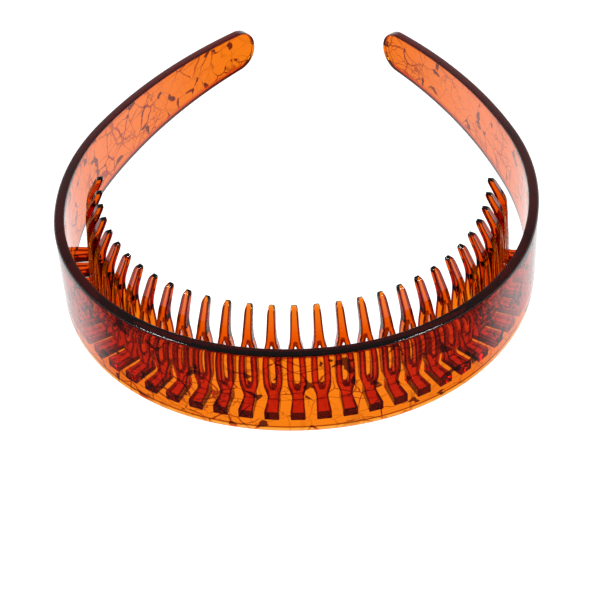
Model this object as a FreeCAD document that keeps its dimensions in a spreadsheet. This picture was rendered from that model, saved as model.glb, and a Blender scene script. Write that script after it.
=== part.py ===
import FreeCAD, Part
import math
import os
import Sketcher

# Comb headband: a C-shaped wall of amber resin standing on its lower edge, with a row of thirty
# forked comb teeth on its inside. The row frame has its origin under the middle of the whole
# object, +Z up, +X to the wearer's right and the crown towards -Y. All sizes are in millimetres.

SIZES = {
    # the wall, seen from above: four tangent arcs on each side of the front
    "band_wall": 2.8,
    "crown_radius": 69.7,
    "temple_radius": 59.8,
    "side_radius": 86.9,
    "tail_radius": 170.7,
    "side_length": 46.7,
    "tail_length": 69.4,
    # the wall, seen from the side: flat below, a shallow arch above
    "crown_height": 26.5,
    "tip_height": 12.4,
    "top_edge_radius": 1600.0,
    "tip_round": 6.0,
    # the comb: where the teeth stand along the wall, counted in tooth pitches from the front
    "tooth_pitch": 6.63,
    "teeth_per_side": 15,
    "row_shift": 0.86,
    "crown_arc_pitches": 3,
    "temple_arc_pitches": 10,
    "flex_pitches": 7,
    "flex_gap": 0.3,
    # a tooth, seen from the side: heights above the lower edge and distances in from mid-wall
    "foot_bottom": 2.35,
    "foot_top": 5.15,
    "stem_outer": 5.85,
    "stem_depth": 2.4,
    "kink_outer": 7.1,
    "kink_height": 24.0,
    "kink_depth": 2.3,
    "tip_outer": 10.8,
    "tip_depth": 1.7,
    "tooth_height": 30.6,
    # a tooth, seen from the front: full widths and the heights that they belong to
    "foot_width": 3.7,
    "foot_shoulder": 4.6,
    "waist_width": 3.0,
    "waist_height": 5.7,
    "fork_width": 4.7,
    "fork_low": 9.5,
    "fork_high": 14.5,
    "neck_width": 2.4,
    "prong_width": 1.85,
    "slot_width": 1.4,
    "slot_bottom": 9.0,
    "slot_shoulder": 17.5,
    "slot_top": 21.5,
    "slot_top_width": 0.2,
    # how far the sheet that trims a tooth to its side view reaches past it
    "room_around": 2.0,
}

doc = FreeCAD.newDocument("comb_headband")
dims = doc.addObject("Spreadsheet::Sheet", "dims")
for row, (word, number) in enumerate(SIZES.items(), start=1):
    dims.set(f"A{row}", word)
    dims.set(f"B{row}", str(number))
    dims.setAlias(f"B{row}", word)
doc.recompute()


def size(formula):
    """The number that a formula of sheet cells, such as dims.band_wall / 2, comes to."""
    return float(dims.evalExpression(formula))


HALF_WALL = "dims.band_wall / 2"
Z_AXIS = FreeCAD.Vector(0, 0, 1)
Y_AXIS = FreeCAD.Vector(0, 1, 0)


# ---- the wall's middle line -------------------------------------------------------------------

ARCS = [
    ("dims.crown_radius", "dims.crown_arc_pitches * dims.tooth_pitch"),
    ("dims.temple_radius", "dims.temple_arc_pitches * dims.tooth_pitch"),
    ("dims.side_radius", "dims.side_length"),
    ("dims.tail_radius", "dims.tail_length"),
]


def inward_vector(angle):
    """The unit vector square to the wall, towards the head."""
    return FreeCAD.Vector(-math.sin(angle), math.cos(angle), 0)


def right_side_arcs():
    """Each arc of the right-hand side as its radius formula, centre, first and last heading and
    first and last distance along the wall, with the middle of the front at the origin."""
    point = FreeCAD.Vector(0, 0, 0)
    heading = 0.0
    travelled = 0.0
    found = []
    for radius_formula, length_formula in ARCS:
        radius = size(radius_formula)
        length = size(length_formula)
        centre = point + inward_vector(heading) * radius
        turned = heading + length / radius
        found.append((radius_formula, centre, heading, turned, travelled, travelled + length))
        point = centre - inward_vector(turned) * radius
        heading = turned
        travelled += length
    return found


RIGHT_ARCS = right_side_arcs()


def place_on_wall(distance):
    """The point on the middle line and the heading there, at a signed distance from the front."""
    for radius_formula, centre, first, last, start, end in RIGHT_ARCS:
        if abs(distance) <= end:
            break
    heading = first + (abs(distance) - start) / size(radius_formula)
    point = centre - inward_vector(heading) * size(radius_formula)
    if distance < 0:
        return FreeCAD.Vector(-point.x, point.y, 0), -heading
    return point, heading


BAND_LENGTH = RIGHT_ARCS[-1][5]
TIP_POINT, TIP_HEADING = place_on_wall(BAND_LENGTH)
FRONT_Y = -size(HALF_WALL)
BACK_Y = TIP_POINT.y - size(HALF_WALL) * math.cos(TIP_HEADING)
TO_ROW_FRAME = FreeCAD.Vector(0, -(FRONT_Y + BACK_Y) / 2, 0)


# ---- the wall ---------------------------------------------------------------------------------


def bound(kind, name, formulas, placement=None):
    """A document object with its properties bound to formulas of sheet cells."""
    made = doc.addObject(kind, name)
    for prop, formula in formulas.items():
        made.setExpression(prop, formula)
    if placement is not None:
        made.Placement = placement
    return made


def arc_wall(name, radius_formula, centre, side, first, last):
    """A stretch of wall of one radius between two headings, on the right (1) or the left (-1)."""
    quarter_turn = math.pi / 2
    start = first - quarter_turn if side > 0 else 3 * quarter_turn - last
    middle = FreeCAD.Vector(side * centre.x, centre.y, 0) + TO_ROW_FRAME
    turn = FreeCAD.Rotation(Z_AXIS, math.degrees(start))
    where = FreeCAD.Placement(middle, turn)
    outer = bound(
        "Part::Cylinder",
        name + "_outer",
        {"Radius": f"{radius_formula} + {HALF_WALL}", "Height": "dims.crown_height"},
        where,
    )
    inner = bound(
        "Part::Cylinder",
        name + "_inner",
        {"Radius": f"{radius_formula} - {HALF_WALL}", "Height": "dims.crown_height"},
        where,
    )
    for sector in (outer, inner):
        sector.Angle = math.degrees(last - first)
    wall = doc.addObject("Part::Cut", name)
    wall.Base = outer
    wall.Tool = inner
    return wall


def top_edge_cylinder():
    """The cylinder lying across the headband whose upper side is the arched top edge."""
    front = FreeCAD.Vector(0, FRONT_Y, size("dims.crown_height"))
    back = FreeCAD.Vector(0, BACK_Y, size("dims.tip_height"))
    chord = back - front
    down = FreeCAD.Vector(0, chord.z, -chord.y)
    down.normalize()
    radius = size("dims.top_edge_radius")
    depth = math.sqrt(radius**2 - (chord.Length / 2) ** 2)
    centre = (front + back) * 0.5 + down * depth
    across = 2 * (size("dims.side_radius") + size("dims.band_wall"))
    lying = FreeCAD.Rotation(Y_AXIS, 90)
    corner = FreeCAD.Vector(-across / 2, centre.y, centre.z) + TO_ROW_FRAME
    cylinder = bound(
        "Part::Cylinder",
        "top_edge",
        {"Radius": "dims.top_edge_radius"},
        FreeCAD.Placement(corner, lying),
    )
    cylinder.Height = across
    return cylinder


def trimmed_wall(name, stretches, top_edge):
    """Stretches of wall joined end to end and cut to the arched top edge."""
    joined = doc.addObject("Part::MultiFuse", name + "_walls")
    joined.Shapes = stretches
    joined.Refine = True
    trimmed = doc.addObject("Part::Common", name)
    trimmed.Base = joined
    trimmed.Tool = top_edge
    return trimmed


SIDES = {"left": -1, "right": 1}
HALF_GAP_ANGLE = size("dims.flex_gap / 2 / dims.temple_radius")


def flex_line(side):
    """The point on the middle line and the heading, both as on the right-hand side, where the
    wall of a side flexes: between two teeth."""
    return place_on_wall(
        size("dims.flex_pitches * dims.tooth_pitch") + side * size("dims.row_shift")
    )


def crown_wall(top_edge):
    """The middle span of the wall, between the two flex lines."""
    front_radius, front_centre, _, front_turned, _, _ = RIGHT_ARCS[0]
    radius, centre, first, _, _, _ = RIGHT_ARCS[1]
    stretches = [
        arc_wall("crown_front", front_radius, front_centre, 1, -front_turned, front_turned)
    ]
    for word, side in SIDES.items():
        last = flex_line(side)[1] - HALF_GAP_ANGLE
        stretches.append(arc_wall(f"crown_{word}", radius, centre, side, first, last))
    return trimmed_wall("band_crown", stretches, top_edge)


def arm_wall(word, side, top_edge):
    """One arm of the wall, from its flex line to its rounded tip."""
    stretches = []
    for number, (radius, centre, first, last, _, _) in enumerate(RIGHT_ARCS[1:], start=1):
        start = flex_line(side)[1] + HALF_GAP_ANGLE if number == 1 else first
        stretches.append(arc_wall(f"{word}_stretch_{number}", radius, centre, side, start, last))
    square = trimmed_wall(f"{word}_arm_square", stretches, top_edge)
    doc.recompute()
    rounded = doc.addObject("Part::Fillet", f"band_{word}_arm")
    rounded.Base = square
    round_radius = size("dims.tip_round")
    rounded.Edges = [
        (number, round_radius, round_radius) for number in tip_corners(square.Shape, side)
    ]
    return rounded


def tip_corners(shape, side):
    """The numbers of the two short edges across the wall at an arm's end."""
    end = FreeCAD.Vector(side * TIP_POINT.x, TIP_POINT.y, 0) + TO_ROW_FRAME
    wall = size("dims.band_wall")
    found = []
    for number, edge in enumerate(shape.Edges, start=1):
        middle = edge.CenterOfMass
        level = FreeCAD.Vector(middle.x, middle.y, 0)
        if level.distanceToPoint(end) < wall / 4 and abs(edge.Length - wall) < wall / 4:
            found.append(number)
    return found


# ---- the teeth --------------------------------------------------------------------------------

H_AXIS_GEOMETRY = -1
V_AXIS_GEOMETRY = -2
START_POINT = 1
END_POINT = 2


def sketch_on(body, role, name):
    """A sketch on one of the body's own origin planes."""
    plane = next(f for f in body.Origin.OriginFeatures if f.Role == role)
    sketch = body.newObject("Sketcher::SketchObject", name)
    sketch.AttachmentSupport = [(plane, "")]
    sketch.MapMode = "FlatFace"
    return sketch


def pin_corner(sketch, line, axis, formula):
    """Binds one coordinate of a line's first point to a formula, or puts it on the axis at 0."""
    if formula == "0":
        along = V_AXIS_GEOMETRY if axis == "DistanceX" else H_AXIS_GEOMETRY
        sketch.addConstraint(Sketcher.Constraint("PointOnObject", line, START_POINT, along))
        return
    number = sketch.addConstraint(
        Sketcher.Constraint(axis, -1, 1, line, START_POINT, size(formula))
    )
    sketch.setExpression(f"Constraints[{number}]", formula)


def closed_outline(sketch, corners, mirrored=()):
    """A closed polygon. Each corner is two formulas; the corners numbered in mirrored instead copy
    an earlier corner across the vertical axis, whose number they map to."""
    mirrored = dict(mirrored)
    points = []
    for number, corner in enumerate(corners):
        x, y = (size(corner[0]), size(corner[1]))
        points.append(FreeCAD.Vector(-x if number in mirrored else x, y, 0))
    first = sketch.GeometryCount
    count = len(points)
    for number in range(count):
        line = Part.LineSegment(points[number], points[(number + 1) % count])
        sketch.addGeometry(line, False)
    for number in range(count):
        meeting = first + (number + 1) % count
        sketch.addConstraint(
            Sketcher.Constraint("Coincident", first + number, END_POINT, meeting, START_POINT)
        )
    for number, (x, y) in enumerate(corners):
        line = first + number
        if number in mirrored:
            twin = first + mirrored[number]
            sketch.addConstraint(
                Sketcher.Constraint(
                    "Symmetric", twin, START_POINT, line, START_POINT, V_AXIS_GEOMETRY
                )
            )
        else:
            pin_corner(sketch, line, "DistanceX", x)
            pin_corner(sketch, line, "DistanceY", y)


def half(word):
    """The formula for half of a size."""
    return f"dims.{word} / 2"


def both_sides(right_half):
    """A polygon's right-hand corners from the bottom up, then the same across the axis."""
    count = len(right_half)
    corners = right_half + right_half[::-1]
    return corners, {count + number: count - 1 - number for number in range(count)}


FRONT_HALF = [
    (half("foot_width"), "dims.foot_bottom"),
    (half("foot_width"), "dims.foot_shoulder"),
    (half("waist_width"), "dims.waist_height"),
    (half("fork_width"), "dims.fork_low"),
    (half("fork_width"), "dims.fork_high"),
    (half("neck_width"), "dims.kink_height"),
    (half("prong_width"), "dims.tooth_height"),
]
SLOT_HALF = [
    (half("slot_width"), "dims.slot_bottom"),
    (half("slot_width"), "dims.slot_shoulder"),
    (half("slot_top_width"), "dims.slot_top"),
]
SIDE_OUTLINE = [
    (HALF_WALL, "dims.foot_bottom"),
    ("dims.stem_outer + dims.stem_depth", "dims.foot_bottom"),
    ("dims.kink_outer + dims.kink_depth", "dims.kink_height"),
    ("dims.tip_outer + dims.tip_depth", "dims.tooth_height"),
    ("dims.tip_outer", "dims.tooth_height"),
    ("dims.kink_outer", "dims.kink_height"),
    ("dims.stem_outer", "dims.foot_top"),
    (HALF_WALL, "dims.foot_top"),
]
ROOM_AROUND = "dims.room_around"
SURROUND = [
    ("0", "0"),
    (f"dims.tip_outer + dims.tip_depth + {ROOM_AROUND}", "0"),
    (
        f"dims.tip_outer + dims.tip_depth + {ROOM_AROUND}",
        f"dims.tooth_height + {ROOM_AROUND}",
    ),
    ("0", f"dims.tooth_height + {ROOM_AROUND}"),
]


def tooth(name, distance):
    """A forked tooth: its front outline with the slot is padded inwards from mid-wall, and all
    that lies outside its side outline is cut away, which leaves the foot, stem and bent prong."""
    body = doc.addObject("PartDesign::Body", name)
    front = sketch_on(body, "XZ_Plane", name + "_front")
    closed_outline(front, *both_sides(FRONT_HALF))
    closed_outline(front, *both_sides(SLOT_HALF))
    pad = body.newObject("PartDesign::Pad", name + "_pad")
    pad.Profile = front
    pad.Reversed = True
    pad.setExpression("Length", "dims.tip_outer + dims.tip_depth")
    side = sketch_on(body, "YZ_Plane", name + "_side")
    closed_outline(side, SURROUND)
    closed_outline(side, SIDE_OUTLINE)
    cut = body.newObject("PartDesign::Pocket", name + "_cut")
    cut.Profile = side
    cut.SideType = "Symmetric"
    cut.setExpression("Length", f"dims.fork_width + {ROOM_AROUND}")
    body.Tip = cut
    point, heading = place_on_wall(distance)
    turn = FreeCAD.Rotation(Z_AXIS, math.degrees(heading))
    body.Placement = FreeCAD.Placement(point + TO_ROW_FRAME, turn)
    return body


def comb_teeth():
    """All the teeth from the left temple round to the right, evenly spaced along the wall."""
    per_side = int(size("dims.teeth_per_side"))
    pitch = size("dims.tooth_pitch")
    made = []
    for number in range(2 * per_side):
        distance = (number - per_side + 0.5) * pitch + size("dims.row_shift")
        made.append(tooth(f"tooth_{number + 1:02d}", distance))
    return made


# ---- build, test and write --------------------------------------------------------------------


def check(pieces):
    """Stops if any object failed to build, or a piece is empty, invalid or not one solid."""
    for item in doc.Objects:
        if {"Invalid", "Error"} & set(item.State):
            raise RuntimeError(f"{item.Name} failed: {item.State}")
    for piece in pieces:
        shape = piece.Shape
        if shape.isNull() or not shape.isValid() or len(shape.Solids) != 1:
            raise RuntimeError(f"{piece.Label} is not one valid solid")


LEAST_SHARE = 0.05
MOST_SHARE = 0.5


def check_cut(teeth):
    """Stops if a tooth's side cut left less or more of the pad than its outline allows."""
    for body in teeth:
        pad = next(item for item in body.Group if item.TypeId == "PartDesign::Pad")
        share = body.Shape.Volume / pad.Shape.Volume
        if not LEAST_SHARE < share < MOST_SHARE:
            raise RuntimeError(f"{body.Label}: the side cut left {share:.2f} of the pad")


def write(pieces):
    """Writes each piece to its own STEP file, named after its label."""
    os.makedirs("parts", exist_ok=True)
    for piece in pieces:
        piece.Shape.exportStep(os.path.join("parts", f"{piece.Label}.step"))


arched_edge = top_edge_cylinder()
crown = crown_wall(arched_edge)
arms = [arm_wall(word, side, arched_edge) for word, side in SIDES.items()]
teeth = comb_teeth()
doc.recompute()
for span in [crown] + arms:
    span.Label = span.Name
whole = [crown] + arms + teeth
check(whole)
check_cut(teeth)
write(whole)

for word, side in SIDES.items():
    point, heading = flex_line(side)
    hinge = point - inward_vector(heading) * size(HALF_WALL) + TO_ROW_FRAME
    print(word, "hinge", round(side * hinge.x, 3), round(hinge.y, 3))
print("band length", round(2 * BAND_LENGTH, 1))
box = Part.makeCompound([piece.Shape for piece in whole]).optimalBoundingBox()
print("box", [round(n, 2) for n in (box.XMin, box.XMax, box.YMin, box.YMax, box.ZMin, box.ZMax)])
print("volume", round(sum(piece.Shape.Volume for piece in whole)), "pieces", len(whole))
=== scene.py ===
import math

import bmesh
import bpy
from mathutils import Matrix, Quaternion, Vector


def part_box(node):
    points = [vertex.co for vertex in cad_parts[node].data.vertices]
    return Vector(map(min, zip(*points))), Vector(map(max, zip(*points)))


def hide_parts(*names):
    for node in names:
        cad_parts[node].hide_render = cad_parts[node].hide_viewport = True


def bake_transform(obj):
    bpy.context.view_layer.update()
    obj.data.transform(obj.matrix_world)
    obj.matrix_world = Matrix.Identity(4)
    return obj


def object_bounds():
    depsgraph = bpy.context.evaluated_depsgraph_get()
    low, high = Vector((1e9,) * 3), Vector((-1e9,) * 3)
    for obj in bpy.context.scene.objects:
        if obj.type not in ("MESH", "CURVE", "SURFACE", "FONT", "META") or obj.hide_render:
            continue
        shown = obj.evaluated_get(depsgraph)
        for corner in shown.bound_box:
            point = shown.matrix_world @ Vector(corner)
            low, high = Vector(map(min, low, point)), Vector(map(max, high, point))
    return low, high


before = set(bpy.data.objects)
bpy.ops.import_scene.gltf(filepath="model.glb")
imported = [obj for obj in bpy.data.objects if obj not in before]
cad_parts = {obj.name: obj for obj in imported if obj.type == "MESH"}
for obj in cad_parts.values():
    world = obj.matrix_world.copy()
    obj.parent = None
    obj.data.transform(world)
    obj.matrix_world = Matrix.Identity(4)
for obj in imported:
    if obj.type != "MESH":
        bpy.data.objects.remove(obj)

# Comb headband of clear amber resin. Two half bands meet at the middle of the front, and thirty
# forked comb teeth stand on their inside. All sizes are in metres, in the row frame.

MM = 0.001
CAD_LOW, CAD_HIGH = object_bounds()
SIDES = {"left": -1, "right": 1}

# ---- the wall: four tangent arcs on each side of the front, each a radius and a length ---------

WALL = 2.8 * MM
TOOTH_PITCH = 6.63 * MM
TEETH_PER_SIDE = 15
ROW_SHIFT = 0.86 * MM
ARCS = [
    (69.7 * MM, 3 * TOOTH_PITCH),
    (59.8 * MM, 10 * TOOTH_PITCH),
    (86.9 * MM, 46.7 * MM),
    (170.7 * MM, 69.4 * MM),
]
HALF_LENGTH = sum(length for radius, length in ARCS)
TOP_EDGE_RADIUS = 1600 * MM
CROWN_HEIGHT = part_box("band_crown")[1].z
TIP_HEIGHT = 12.4 * MM
TIP_ROUND = 6.0 * MM
OUTER_TOP_ROUND = 0.6 * MM
OUTER_BOTTOM_ROUND = 0.15 * MM
INNER_ROUND = 0.35 * MM
# How far each half band stops short of the middle, where the two meet.
SEAM_GAP = 0.002 * MM
# How far from the front the table shines into the underside; beyond it the whole bottom rim carries
# painted shade.
LIT_LENGTH = 80 * MM
FRONT = Vector((0, CAD_LOW.y + WALL / 2, 0))


def inward(heading):
    """The unit vector square to the wall, towards the head."""
    return Vector((-math.sin(heading), math.cos(heading), 0))


def middle_line(distance):
    """The point on the right-hand side's middle line, and the heading there, at a distance along
    it from the front."""
    point = FRONT.copy()
    heading = 0.0
    for radius, length in ARCS:
        centre = point + inward(heading) * radius
        run = min(distance, length)
        heading += run / radius
        point = centre - inward(heading) * radius
        distance -= run
        if distance <= 0:
            break
    return point, heading


def wall_frame(distance):
    """The middle line's point and heading at a signed distance, positive to the right."""
    point, heading = middle_line(abs(distance))
    if distance < 0:
        return Vector((-point.x, point.y, 0)), -heading
    return point, heading


def top_height(y):
    """The height of the shallow arched top edge over a place y."""
    back = CAD_HIGH.y
    chord = Vector((back - CAD_LOW.y, TIP_HEIGHT - CROWN_HEIGHT))
    middle = Vector(((back + CAD_LOW.y) / 2, (TIP_HEIGHT + CROWN_HEIGHT) / 2))
    down = Vector((chord.y, -chord.x)).normalized()
    depth = math.sqrt(TOP_EDGE_RADIUS**2 - chord.length_squared / 4)
    centre = middle + down * depth
    return centre.y + math.sqrt(TOP_EDGE_RADIUS**2 - (y - centre.x) ** 2)


# Veins show only from this place across the wall outwards, as they lie near the outer face.
VEINED_ACROSS = -WALL / 4

STATION_STEP = 1.6 * MM
TIP_STEPS = 18
FACE_STEPS = 8
ROUND_STEPS = 6
# A cross-section's points are numbered from the top rim's outer end, down the inner face, along
# the bottom rim and up the outer face. The underside lies outwards of the bottom inner edge.
RIM_POINTS = 2 * (ROUND_STEPS + 1)
TOP_RIM = range(RIM_POINTS)
BOTTOM_START = RIM_POINTS + FACE_STEPS - 1
BOTTOM_RIM = range(BOTTOM_START, BOTTOM_START + RIM_POINTS)
BOTTOM_INNER_EDGE = range(BOTTOM_START + 1, BOTTOM_START + ROUND_STEPS)
UNDERSIDE = range(BOTTOM_START + ROUND_STEPS, BOTTOM_START + RIM_POINTS - 1)


def stations():
    """The places along a half band that get a ring, each as its distance, and the angle that the
    rounded tip has turned there."""
    straight = HALF_LENGTH - TIP_ROUND
    count = round(straight / STATION_STEP)
    found = [(SEAM_GAP + (straight - SEAM_GAP) * i / count, 0.0) for i in range(count)]
    for i in range(TIP_STEPS + 1):
        angle = math.pi / 2 * i / TIP_STEPS
        found.append((straight + TIP_ROUND * math.sin(angle), angle))
    return found


def rim_profile(outer_round):
    """The rounded rim from the outer face to the inner: places across the wall, and how far the
    outline is inset there."""
    half = WALL / 2
    turn = [math.pi / 2 * i / ROUND_STEPS for i in range(ROUND_STEPS + 1)]
    outer = [
        (-half + outer_round * (1 - math.cos(a)), outer_round * (1 - math.sin(a))) for a in turn
    ]
    inner = [
        (half - INNER_ROUND * (1 - math.cos(a)), INNER_ROUND * (1 - math.sin(a)))
        for a in reversed(turn)
    ]
    return outer + inner


def ring(distance, angle):
    """One closed cross-section of the wall as (distance, across, height) triples, counting from
    the top rim's outer end, down the inner face, along the bottom rim and up the outer face."""
    drop = TIP_ROUND * (1 - math.cos(angle))
    top = top_height(middle_line(distance)[0].y) - drop
    bottom = drop
    out = math.sin(angle)
    up = math.cos(angle)
    top_rim = [
        (distance - out * inset, across, top - up * inset)
        for across, inset in rim_profile(OUTER_TOP_ROUND)
    ]
    bottom_rim = [
        (distance - out * inset, across, bottom + up * inset)
        for across, inset in reversed(rim_profile(OUTER_BOTTOM_ROUND))
    ]
    inner = spread(top_rim[-1], bottom_rim[0])
    outer = spread(bottom_rim[-1], top_rim[0])
    return top_rim + inner + bottom_rim + outer


def spread(first, last):
    """The points strictly between two, evenly spaced."""
    made = []
    for i in range(1, FACE_STEPS):
        share = i / FACE_STEPS
        made.append(tuple(a + (b - a) * share for a, b in zip(first, last)))
    return made


def half_band(name, side, material):
    """One half of the band as a closed mesh: a rounded wall swept along the middle line. Its flat
    end at the middle of the front is marked as a seam, which lets everything through, and so is
    the underside of the crown, which the light of the table shines straight into."""
    mesh = bpy.data.meshes.new(name)
    build = bmesh.new()
    wall_map = build.loops.layers.uv.new("wall_map")
    veined = build.verts.layers.float.new("veined")
    rim = build.verts.layers.float.new("rim")
    seam = build.faces.layers.float.new("seam")
    places = {}
    rings = []
    for distance, angle in stations():
        row = []
        for number, (along, across, height) in enumerate(ring(distance, angle)):
            point, heading = wall_frame(side * along)
            vert = build.verts.new(point + inward(heading) * across + Vector((0, 0, height)))
            vert[veined] = 1.0 if across < VEINED_ACROSS else 0.0
            # The rim mask marks painted shade: the whole top rim, and beyond the lit front the
            # whole bottom rim as a painted contact shadow; near the front only the bottom's inner
            # edge.
            in_rim = number in (BOTTOM_RIM if along > LIT_LENGTH else BOTTOM_INNER_EDGE)
            vert[rim] = 1.0 if number in TOP_RIM or in_rim else 0.0
            places[vert] = (side * along, height)
            row.append(vert)
        rings.append(row)
    count = len(rings[0])
    for near, far in zip(rings, rings[1:]):
        for i in range(count):
            k = (i + 1) % count
            face = build.faces.new((near[i], near[k], far[k], far[i]))
            near_front = abs(places[far[i]][0]) < LIT_LENGTH
            face[seam] = 1.0 if i in UNDERSIDE and near_front else 0.0
    for row in (rings[0], rings[-1]):
        for face in cap(build, row):
            face[seam] = 1.0 if row is rings[0] else 0.0
    bmesh.ops.recalc_face_normals(build, faces=build.faces)
    for face in build.faces:
        face.smooth = True
        for loop in face.loops:
            loop[wall_map].uv = [n / MM for n in places[loop.vert]]
    for edge in build.edges:
        edge.smooth = len({face[seam] for face in edge.link_faces}) == 1
    build.to_mesh(mesh)
    build.free()
    mesh.materials.append(material)
    made = bpy.data.objects.new(name, mesh)
    bpy.context.scene.collection.objects.link(made)
    return made


def cap(build, row):
    """Faces that close a ring: strips across it from the outer half to the inner."""
    count = len(row)
    middle = RIM_POINTS // 2
    start = middle - 1
    faces = []
    for i in range(count // 2 - 1):
        a, b = row[(start - i) % count], row[(start - i - 1) % count]
        c, d = row[(middle + i + 1) % count], row[(middle + i) % count]
        faces.append(build.faces.new((a, b, c, d)))
    return faces


# ---- a comb tooth: a lattice of cells whose skin is subdivided ---------------------------------

# Heights up the tooth, each with half the tooth's width and half the slot's, or no slot.
ROWS = [
    (2.35, 1.56, None),
    (2.70, 1.58, None),
    (4.75, 1.56, None),
    (5.15, 1.50, None),
    (5.95, 1.50, None),
    (7.20, 1.80, None),
    (8.55, 2.22, 0.34),
    (9.40, 2.38, 0.66),
    (12.0, 2.45, 0.72),
    (14.5, 2.42, 0.72),
    (16.8, 2.30, 0.70),
    (18.6, 2.10, 0.52),
    (20.2, 1.88, 0.32),
    (21.3, 1.66, 0.12),
    (22.2, 1.42, None),
    (23.6, 1.30, None),
    (25.2, 1.18, None),
    (27.3, 1.08, None),
    (28.8, 1.05, None),
    (29.9, 0.95, None),
    (30.6, 0.70, None),
    (30.85, 0.32, None),
]
FOOT_ROWS = 3
TIP_ROUND_ROW = len(ROWS) - 1
TIP_NARROWING = 0.35
# At the tip the painted edge shade is held back, by this least distance from the sides.
CLEAR_TIP = 0.60
# The side view: heights with the outer face's distance in from mid-wall and the depth there.
SIDE_VIEW = [
    (2.35, 5.85, 2.45),
    (5.15, 5.85, 2.45),
    (14.5, 6.45, 2.45),
    (22.4, 6.95, 2.40),
    (24.4, 7.25, 2.30),
    (30.85, 10.8, 1.75),
]
HALF_FOOT_WIDTH = 3.75 / 2
# How far in from mid-wall the foot's layers lie. The first is just clear of the wall.
FOOT_STEPS = [1.41, 1.75, 3.0, 4.3]
LATTICE_COLUMNS = 7
SLOT_COLUMN = 3
STEM_LAYERS = 3
# Half the width of the slot's column as a share of half the tooth's, where there is no slot.
SOLID_SLOT_SHARE = 0.22
# Where the rows that hold the rounding tight lie, as shares of a leg's width and of the depth.
LEG_SUPPORT = 0.34
DEPTH_SUPPORT = 0.30
SUBDIVISION_LEVELS = 2
# How much faster the painted shade of an edge fades over the faces than over the sides.
SIDE_SHARPNESS = 2.0


def between(table, height):
    """The values of a height table at a height, straight between its rows."""
    for low, high in zip(table, table[1:]):
        if height <= high[0]:
            share = (height - low[0]) / (high[0] - low[0])
            return [a + (b - a) * share for a, b in zip(low[1:], high[1:])]
    return list(table[-1][1:])


def columns(half_width, half_slot):
    """The eight places across a row of the lattice, from the left edge to the right."""
    slot = half_slot if half_slot else SOLID_SLOT_SHARE * half_width
    leg = half_width - slot
    right = [slot, slot + LEG_SUPPORT * leg, half_width - LEG_SUPPORT * leg, half_width]
    return [-x for x in reversed(right)] + right


def depths(height):
    """The four distances in from mid-wall of a row of the lattice."""
    outer, depth = between(SIDE_VIEW, height)
    step = DEPTH_SUPPORT * depth
    return [outer, outer + step, outer + depth - step, outer + depth]


def lattice_point(column, row, layer):
    """A corner of the lattice in the tooth's own frame, in millimetres: +X along the wall, +Y
    inwards from mid-wall. The foot's layers come first. With it comes how far the place is from
    the nearest long edge of the tooth."""
    height, half_width, half_slot = ROWS[row]
    stem = depths(height)
    in_foot = layer < len(FOOT_STEPS)
    inwards = (FOOT_STEPS + stem)[layer]
    from_face = min(inwards - stem[0], stem[-1] - inwards)
    if in_foot:
        share = (inwards - FOOT_STEPS[0]) / (stem[0] - FOOT_STEPS[0])
        half_width = HALF_FOOT_WIDTH + (half_width - HALF_FOOT_WIDTH) * share
        from_face = min(height - ROWS[0][0], ROWS[FOOT_ROWS][0] - height)
    if row == TIP_ROUND_ROW:
        middle = (stem[0] + stem[-1]) / 2
        inwards = middle + (inwards - middle) * TIP_NARROWING
    across = columns(half_width, half_slot)[column]
    from_side = half_width - abs(across)
    if row >= TIP_ROUND_ROW - 1:
        from_side = max(from_side, CLEAR_TIP)
    if half_slot:
        from_side = min(from_side, abs(across) - half_slot)
    return Vector((across, inwards, height)), from_side + SIDE_SHARPNESS * from_face


def lattice_cells():
    """The cells that are solid, each as its column, row and layer."""
    foot_layers = len(FOOT_STEPS)
    solid = set()
    for row in range(len(ROWS) - 1):
        open_slot = ROWS[row][2] is not None and ROWS[row + 1][2] is not None
        for column in range(LATTICE_COLUMNS):
            if open_slot and column == SLOT_COLUMN:
                continue
            for layer in range(foot_layers + STEM_LAYERS):
                if layer >= foot_layers or row < FOOT_ROWS:
                    solid.add((column, row, layer))
    return solid


# Each side of a cell: the step to the cell beside it, and the corners of the face between them.
CELL_FACES = [
    ((-1, 0, 0), ((0, 0, 0), (0, 0, 1), (0, 1, 1), (0, 1, 0))),
    ((1, 0, 0), ((1, 0, 0), (1, 1, 0), (1, 1, 1), (1, 0, 1))),
    ((0, -1, 0), ((0, 0, 0), (1, 0, 0), (1, 0, 1), (0, 0, 1))),
    ((0, 1, 0), ((0, 1, 0), (0, 1, 1), (1, 1, 1), (1, 1, 0))),
    ((0, 0, -1), ((0, 0, 0), (0, 1, 0), (1, 1, 0), (1, 0, 0))),
    ((0, 0, 1), ((0, 0, 1), (1, 0, 1), (1, 1, 1), (0, 1, 1))),
]


def tooth_cage():
    """The skin of the lattice's solid cells, as a closed mesh of four-sided faces. Each corner
    keeps its distance from the nearest long edge."""
    mesh = bpy.data.meshes.new("tooth_cage")
    build = bmesh.new()
    from_edge = build.verts.layers.float.new("from_edge")
    corners = {}
    cells = lattice_cells()
    for cell in sorted(cells):
        for step, face in CELL_FACES:
            beside = tuple(a + b for a, b in zip(cell, step))
            if beside in cells:
                continue
            verts = []
            for offset in face:
                key = tuple(a + b for a, b in zip(cell, offset))
                if key not in corners:
                    point, distance = lattice_point(*key)
                    corners[key] = build.verts.new(point * MM)
                    corners[key][from_edge] = distance
                verts.append(corners[key])
            build.faces.new(verts)
    bmesh.ops.recalc_face_normals(build, faces=build.faces)
    for face in build.faces:
        face.smooth = True
    build.to_mesh(mesh)
    build.free()
    return mesh


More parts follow.
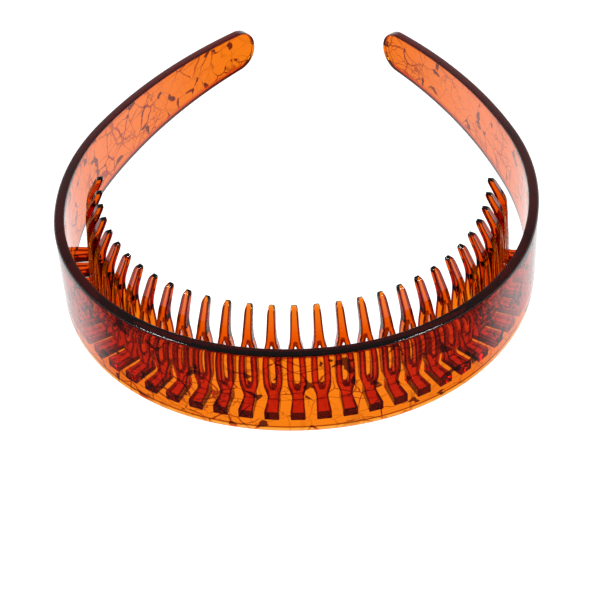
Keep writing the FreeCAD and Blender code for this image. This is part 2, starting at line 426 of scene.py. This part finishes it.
def tooth_mesh():
    """The rounded tooth that every tooth is a copy of."""
    cage = bpy.data.objects.new("tooth_cage", tooth_cage())
    bpy.context.scene.collection.objects.link(cage)
    rounding = cage.modifiers.new("rounding", "SUBSURF")
    rounding.levels = SUBDIVISION_LEVELS
    bpy.context.view_layer.update()
    depsgraph = bpy.context.evaluated_depsgraph_get()
    mesh = bpy.data.meshes.new_from_object(cage.evaluated_get(depsgraph))
    bpy.data.objects.remove(cage)
    return mesh


def comb_tooth(name, pattern, distance, material):
    """A copy of the tooth, standing on the wall at a signed distance from the front."""
    mesh = pattern.copy()
    mesh.name = name
    point, heading = wall_frame(distance)
    mesh.transform(Matrix.Translation(point) @ Matrix.Rotation(heading, 4, "Z"))
    mesh.materials.append(material)
    made = bpy.data.objects.new(name, mesh)
    bpy.context.scene.collection.objects.link(made)
    return made


# ---- materials ---------------------------------------------------------------------------------

# How much red, green and blue light the resin takes in, per metre.
BAND_ABSORBS = (96, 555, 1780)
TEETH_ABSORBS = (155, 900, 3000)
RESIN_IOR = 1.5
RESIN_ROUGHNESS = 0.025
VEIN_COLOUR = (0.17, 0.022, 0.01, 1)
KNOT_COLOUR = (0.026, 0.006, 0.05, 1)
# Painted shade: the dark outline along the teeth's long edges.
PAINTED_EDGE_SHADE_COLOUR = (0.11, 0.006, 0.003, 1)
CLOUD_COLOUR = (0.86, 0.72, 0.66, 1)
PRONG_COLOUR = (0.9, 0.62, 0.35, 1)
# Painted shade over the band's top rim and bottom rim.
RIM_PAINTED_SHADE_COLOUR = (0.25, 0.05, 0.05, 1)
# Painted shade: a deeper red along the lowest strip of the band's outer side, where it sits on the
# floor.
LOW_STRIP_PAINTED_SHADE_COLOUR = (0.62, 0.05, 0.0, 1)
CLEAR_COLOUR = (1.0, 0.99, 0.98, 1)

# The veins, on a map of the wall in millimetres: noise and cells are so many to the millimetre,
# and a line's half width is a share of a cell. Each fade has a start and an end, and some also
# have the values there.
WARP_DETAIL = 3.0
COARSE_WARP = (0.10, 6.0)
COARSE_CELLS = 0.13
COARSE_LINE = (0.014, 0.036, 1.0, 0.0)
SWEEP_STRETCH = (0.28, 1.0, 1.0)
SWEEP_CELLS = 0.16
SWEEP_LINE = (0.010, 0.030, 0.9, 0.0)
FINE_WARP = (0.3, 3.0)
FINE_CELLS = 0.24
FINE_LINE = (0.012, 0.034, 0.9, 0.0)
FINE_PATCHES = 0.09
FINE_SHARE = (0.44, 0.56)
CLUSTERS = 0.06
CLUSTERED = (0.40, 0.58, 0.3, 1.0)
SWELLINGS = 0.2
SWELLING = (0.54, 0.70, 0.001, 0.17)
KNOT = (0.55, 1.0, 1.0, 0.0)

# The painted rim shade fades in over these values of the rim mask.
RIM_PAINTED_SHADE_FADE = (0.9, 1.0)
# The lowest strip's painted shade fades out over these heights, in millimetres.
LOW_STRIP_PAINTED_SHADE_FADE = (0.0, 1.5, 1.0, 0.0)
BAND_WAVE_SCALE = 0.2
BAND_WAVE_STRENGTH = 0.06
# On the teeth, noise is so many to the metre, and the prong's tint fades in between two heights.
CLOUD_SCALE = 320.0
CLOUD_FADE = (0.45, 0.75)
PRONG_FADE = (14 * MM, 22 * MM)
# Painted edge shade on the teeth: full near the edges, none beyond this distance from them.
PAINTED_EDGE_SHADE_FADE = (0.34, 0.52, 1.0, 0.0)
TOOTH_WAVE_SCALE = 260.0
TOOTH_WAVE_STRENGTH = 0.05
WAVE_DETAIL = 2.0
WAVE_HEIGHT = 0.3 * MM


class Nodes:
    """Short calls for building a node tree."""

    def __init__(self, owner):
        owner.use_nodes = True
        self.tree = owner.node_tree
        self.tree.nodes.clear()

    def add(self, kind, links=None, **settings):
        """A new node with its settings made and its inputs set or linked by name or number."""
        node = self.tree.nodes.new(kind)
        for word, value in settings.items():
            setattr(node, word, value)
        for socket, value in (links or {}).items():
            self.join(node.inputs[socket], value)
        return node

    def join(self, socket, value):
        """Links an output to the socket, or sets the socket to a plain value."""
        if isinstance(value, bpy.types.NodeSocket):
            self.tree.links.new(value, socket)
        else:
            socket.default_value = value

    def math(self, operation, first, second=0.0):
        """The result of a Math node."""
        node = self.add("ShaderNodeMath", {0: first, 1: second}, operation=operation)
        return node.outputs[0]

    def ramp(self, value, low, high, from_value=0.0, to_value=1.0):
        """A value carried smoothly from one range to another, and held at its ends."""
        node = self.add(
            "ShaderNodeMapRange",
            {0: value, 1: low, 2: high, 3: from_value, 4: to_value},
            interpolation_type="SMOOTHSTEP",
        )
        return node.outputs[0]

    def noise(self, vector, scale, detail=2.0):
        """The output of a Noise Texture."""
        return self.add("ShaderNodeTexNoise", {"Vector": vector, "Scale": scale, "Detail": detail})

    def cell_edges(self, vector, scale):
        """How far a place is from the edges of a pattern of random cells."""
        node = self.add(
            "ShaderNodeTexVoronoi", {"Vector": vector, "Scale": scale}, feature="DISTANCE_TO_EDGE"
        )
        return node.outputs["Distance"]

    def mix(self, share, first, second):
        """A colour between two, each a plain colour or an output."""
        node = self.add("ShaderNodeMix", {"Factor": share}, data_type="RGBA")
        colours = [socket for socket in node.inputs if socket.type == "RGBA"]
        self.join(colours[0], first)
        self.join(colours[1], second)
        return next(socket for socket in node.outputs if socket.type == "RGBA")


def warped(nodes, vector, scale, amount):
    """The vector, pushed about by noise."""
    push = nodes.noise(vector, scale, WARP_DETAIL).outputs["Color"]
    centred = nodes.add(
        "ShaderNodeVectorMath", {0: push, 1: (0.5, 0.5, 0.5)}, operation="SUBTRACT"
    )
    grown = nodes.add("ShaderNodeVectorMath", {0: centred.outputs[0]}, operation="SCALE")
    grown.inputs["Scale"].default_value = amount
    moved = nodes.add("ShaderNodeVectorMath", {0: vector, 1: grown.outputs[0]}, operation="ADD")
    return moved.outputs[0]


def patches(nodes, vector, scale, detail, fade):
    """A share that comes and goes over the surface in soft patches."""
    return nodes.ramp(nodes.noise(vector, scale, detail).outputs[0], *fade)


def vein_network(nodes, vector):
    """How much of a vein, and how much of a dark knot, lies at a place: a net of long thin lines,
    long sweeping lines along the band, a finer net in patches, and knots on the long lines. All
    the lines are fainter outside some clusters."""
    coarse_place = warped(nodes, vector, *COARSE_WARP)
    coarse = nodes.cell_edges(coarse_place, COARSE_CELLS)
    coarse_line = nodes.ramp(coarse, *COARSE_LINE)
    stretched = nodes.add(
        "ShaderNodeVectorMath", {0: coarse_place, 1: SWEEP_STRETCH}, operation="MULTIPLY"
    ).outputs[0]
    sweep_line = nodes.ramp(nodes.cell_edges(stretched, SWEEP_CELLS), *SWEEP_LINE)
    fine_place = warped(nodes, vector, *FINE_WARP)
    fine_line = nodes.ramp(nodes.cell_edges(fine_place, FINE_CELLS), *FINE_LINE)
    fine_share = patches(nodes, vector, FINE_PATCHES, 1.0, FINE_SHARE)
    fine_line = nodes.math("MULTIPLY", fine_line, fine_share)
    veins = nodes.math("MAXIMUM", coarse_line, nodes.math("MAXIMUM", sweep_line, fine_line))
    clustered = patches(nodes, vector, CLUSTERS, 1.0, CLUSTERED)
    veins = nodes.math("MULTIPLY", veins, clustered)
    swelling = patches(nodes, vector, SWELLINGS, 2.0, SWELLING)
    knots = nodes.ramp(nodes.math("DIVIDE", coarse, swelling), *KNOT)
    return veins, knots


def finish_resin(nodes, absorbs, colour, alpha, bump):
    """Clear resin that takes in light on its way through. Its surface has a colour, an alpha and a
    bump."""
    surface = nodes.add(
        "ShaderNodeBsdfPrincipled",
        {
            "Base Color": colour,
            "Roughness": RESIN_ROUGHNESS,
            "IOR": RESIN_IOR,
            "Transmission Weight": 1.0,
            "Alpha": alpha,
            "Normal": bump,
        },
    )
    inside = nodes.add("ShaderNodeVolumeAbsorption")
    most = max(absorbs)
    inside.inputs["Density"].default_value = most
    inside.inputs["Color"].default_value = [1 - part / most for part in absorbs] + [1]
    nodes.add(
        "ShaderNodeOutputMaterial",
        {"Surface": surface.outputs[0], "Volume": inside.outputs[0]},
    )


def waviness(nodes, vector, scale, strength):
    """The slight unevenness of a moulded surface."""
    height = nodes.noise(vector, scale, WAVE_DETAIL).outputs[0]
    bump = nodes.add(
        "ShaderNodeBump", {"Height": height, "Strength": strength, "Distance": WAVE_HEIGHT}
    )
    return bump.outputs[0]


def band_material():
    """Amber resin with a net of dark veins near its outer face, painted shade on its top and bottom
    rims, and a painted shade of deeper red along the lowest strip of its outer side."""
    material = bpy.data.materials.new("amber_resin_band")
    nodes = Nodes(material)
    vector = nodes.add("ShaderNodeUVMap", uv_map="wall_map").outputs[0]
    veins, knots = vein_network(nodes, vector)
    veined = nodes.add("ShaderNodeAttribute", attribute_name="veined").outputs["Fac"]
    colour = nodes.mix(nodes.math("MULTIPLY", veins, veined), CLEAR_COLOUR, VEIN_COLOUR)
    colour = nodes.mix(nodes.math("MULTIPLY", knots, veined), colour, KNOT_COLOUR)
    # Painted shade on the rims: a dark tint over the top rim and the bottom rim.
    rim = nodes.add("ShaderNodeAttribute", attribute_name="rim").outputs["Fac"]
    colour = nodes.mix(nodes.ramp(rim, *RIM_PAINTED_SHADE_FADE), colour, RIM_PAINTED_SHADE_COLOUR)
    # Painted shade: a deeper red over the lowest 1.5 mm of the outer side, where the wall meets the
    # floor.
    height = nodes.add("ShaderNodeSeparateXYZ", {0: vector}).outputs[1]
    low = nodes.math("MULTIPLY", nodes.ramp(height, *LOW_STRIP_PAINTED_SHADE_FADE), veined)
    colour = nodes.mix(low, colour, LOW_STRIP_PAINTED_SHADE_COLOUR)
    seam = nodes.add("ShaderNodeAttribute", attribute_name="seam").outputs["Fac"]
    alpha = nodes.math("SUBTRACT", 1.0, seam)
    bump = waviness(nodes, vector, BAND_WAVE_SCALE, BAND_WAVE_STRENGTH)
    finish_resin(nodes, BAND_ABSORBS, colour, alpha, bump)
    return material


def tooth_material():
    """The same amber resin with only a faint cloudiness, as the veins hardly reach the teeth. Its
    edges carry a painted shade: a dark outline standing in for the dark that refraction gives the
    rounded edges of thick resin."""
    material = bpy.data.materials.new("amber_resin_teeth")
    nodes = Nodes(material)
    place = nodes.add("ShaderNodeTexCoord").outputs["Object"]
    cloud = nodes.noise(place, CLOUD_SCALE).outputs[0]
    colour = nodes.mix(nodes.ramp(cloud, *CLOUD_FADE), CLEAR_COLOUR, CLOUD_COLOUR)
    height = nodes.add("ShaderNodeSeparateXYZ", {0: place}).outputs[2]
    colour = nodes.mix(nodes.ramp(height, *PRONG_FADE), colour, PRONG_COLOUR)
    # Painted shade: a dark outline near each tooth's long edges, standing in for refraction's dark
    # edges.
    from_edge = nodes.add("ShaderNodeAttribute", attribute_name="from_edge").outputs["Fac"]
    colour = nodes.mix(nodes.ramp(from_edge, *PAINTED_EDGE_SHADE_FADE), colour, PAINTED_EDGE_SHADE_COLOUR)
    bump = waviness(nodes, place, TOOTH_WAVE_SCALE, TOOTH_WAVE_STRENGTH)
    finish_resin(nodes, TEETH_ABSORBS, colour, 1.0, bump)
    return material


# ---- the headband ------------------------------------------------------------------------------

# A stretch of each side, measured from the front. Its ends are looked up, but no bending is spread
# over it.
BLEND_START = 5 * MM
BLEND_END = 88 * MM


def bend_with_arm(piece, side):
    """The piece's placement is baked into its mesh; it does not bend with its arm."""
    start = wall_frame(side * BLEND_START)[0]
    end = wall_frame(side * BLEND_END)[0]
    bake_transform(piece)


def make_headband():
    """Both half bands and all the teeth, each with its placement baked in; none of them bends."""
    resin = band_material()
    for word, side in SIDES.items():
        half = half_band(f"band_{word}_half", side, resin)
        bend_with_arm(half, side)
        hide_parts("band_crown", f"band_{word}_arm")
    resin = tooth_material()
    pattern = tooth_mesh()
    for number in range(2 * TEETH_PER_SIDE):
        distance = (number - TEETH_PER_SIDE + 0.5) * TOOTH_PITCH + ROW_SHIFT
        word, side = ("left", -1) if distance < 0 else ("right", 1)
        tooth = comb_tooth(f"comb_tooth_{number + 1:02d}", pattern, distance, resin)
        bend_with_arm(tooth, side)
        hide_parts(f"tooth_{number + 1:02d}")


# ---- stage, light and camera -------------------------------------------------------------------

FLOOR_REACH = 12.0
FLOOR_CELLS = 8
FLOOR_DROP = 0.05 * MM
FLOOR_LIGHT = 1.4
CEILING_LIGHT = 0.22
DARK_SIDE_LIGHT = 0.1
# Where the room changes, as parts of a direction: its height, or how far it points to the back.
OVERHEAD_FADE = (0.12, 0.62, FLOOR_LIGHT, CEILING_LIGHT)
BACK_FADE = (0.0, 0.45, DARK_SIDE_LIGHT, FLOOR_LIGHT)
HORIZON_FADE = (-0.2, -0.05)
FRONT_FADE = (-0.92, -0.55, DARK_SIDE_LIGHT, 1.0)


def make_floor():
    """A plain white floor that is lit from within, as a light table is."""
    mesh = bpy.data.meshes.new("floor")
    build = bmesh.new()
    bmesh.ops.create_grid(
        build, x_segments=FLOOR_CELLS, y_segments=FLOOR_CELLS, size=FLOOR_REACH
    )
    build.to_mesh(mesh)
    build.free()
    floor = bpy.data.objects.new("floor", mesh)
    floor.location.z = -FLOOR_DROP
    floor.visible_glossy = False
    bpy.context.scene.collection.objects.link(floor)
    material = bpy.data.materials.new("light_table")
    nodes = Nodes(material)
    glow = nodes.add("ShaderNodeEmission", {"Strength": FLOOR_LIGHT})
    nodes.add("ShaderNodeOutputMaterial", {"Surface": glow.outputs[0]})
    mesh.materials.append(material)


def make_world():
    """A room that is white at the horizon, dim overhead and dark straight in front of the headband.
    Below the horizon only reflections see it: there it is bright behind the headband."""
    world = bpy.data.worlds.new("studio")
    bpy.context.scene.world = world
    nodes = Nodes(world)
    direction = nodes.add("ShaderNodeTexCoord").outputs["Generated"]
    parts = nodes.add("ShaderNodeSeparateXYZ", {0: direction}).outputs
    height = parts[2]
    overhead = nodes.ramp(height, *OVERHEAD_FADE)
    below = nodes.ramp(parts[1], *BACK_FADE)
    raised = nodes.ramp(height, *HORIZON_FADE)
    lowered = nodes.math("MULTIPLY", below, nodes.math("SUBTRACT", 1.0, raised))
    lifted = nodes.math("MULTIPLY", overhead, raised)
    shade = nodes.ramp(parts[1], *FRONT_FADE)
    strength = nodes.math("MULTIPLY", nodes.math("ADD", lowered, lifted), shade)
    sky = nodes.add("ShaderNodeBackground", {"Strength": strength})
    nodes.add("ShaderNodeOutputWorld", {"Surface": sky.outputs[0]})


SOFTBOX_AZIMUTH = 62
SOFTBOX_ELEVATION = 42
SOFTBOX_DISTANCE = 1.2
SOFTBOX_SIZE = 0.36
SOFTBOX_WATTS = 7


def make_softbox(name, side):
    """A soft box lamp that faces the object from one side of the front."""
    lamp = bpy.data.lights.new(name, "AREA")
    lamp.shape = "RECTANGLE"
    lamp.size = SOFTBOX_SIZE
    lamp.size_y = SOFTBOX_SIZE
    lamp.energy = SOFTBOX_WATTS
    box = bpy.data.objects.new(name, lamp)
    turn = math.radians(side * SOFTBOX_AZIMUTH)
    rise = math.radians(SOFTBOX_ELEVATION)
    away = Vector(
        (math.sin(turn) * math.cos(rise), -math.cos(turn) * math.cos(rise), math.sin(rise))
    )
    box.location = away * SOFTBOX_DISTANCE
    box.rotation_mode = "QUATERNION"
    box.rotation_quaternion = (-away).to_track_quat("-Z", "Y")
    bpy.context.scene.collection.objects.link(box)


CAMERA_AIM = Vector((2.8, -44.09, 13.0)) * MM
CAMERA_DISTANCE = 0.4951
CAMERA_HEADING = -6.118
CAMERA_ELEVATION = 43.383
CAMERA_ROLL = 3.2008
CAMERA_LENS = 115.1
CAMERA_SENSOR = 36.0
CAMERA_NEAR = 0.02
CAMERA_FAR = 100.0


def make_camera():
    """The camera in front of the headband, looking down on it."""
    camera = bpy.data.cameras.new("camera")
    camera.lens = CAMERA_LENS
    camera.sensor_width = CAMERA_SENSOR
    camera.clip_start = CAMERA_NEAR
    camera.clip_end = CAMERA_FAR
    eye = bpy.data.objects.new("camera", camera)
    turn = math.radians(CAMERA_HEADING)
    fall = math.radians(CAMERA_ELEVATION)
    ahead = Vector(
        (math.sin(turn) * math.cos(fall), math.cos(turn) * math.cos(fall), -math.sin(fall))
    )
    eye.location = CAMERA_AIM - ahead * CAMERA_DISTANCE
    eye.rotation_mode = "QUATERNION"
    level = ahead.to_track_quat("-Z", "Y")
    eye.rotation_quaternion = level @ Quaternion((0, 0, 1), -math.radians(CAMERA_ROLL))
    bpy.context.scene.collection.objects.link(eye)
    bpy.context.scene.camera = eye


make_camera()
make_floor()
make_world()
for word, side in SIDES.items():
    make_softbox(f"softbox_{word}", side)
make_headband()
bpy.context.scene.view_settings.view_transform = "Standard"

bpy.context.view_layer.update()
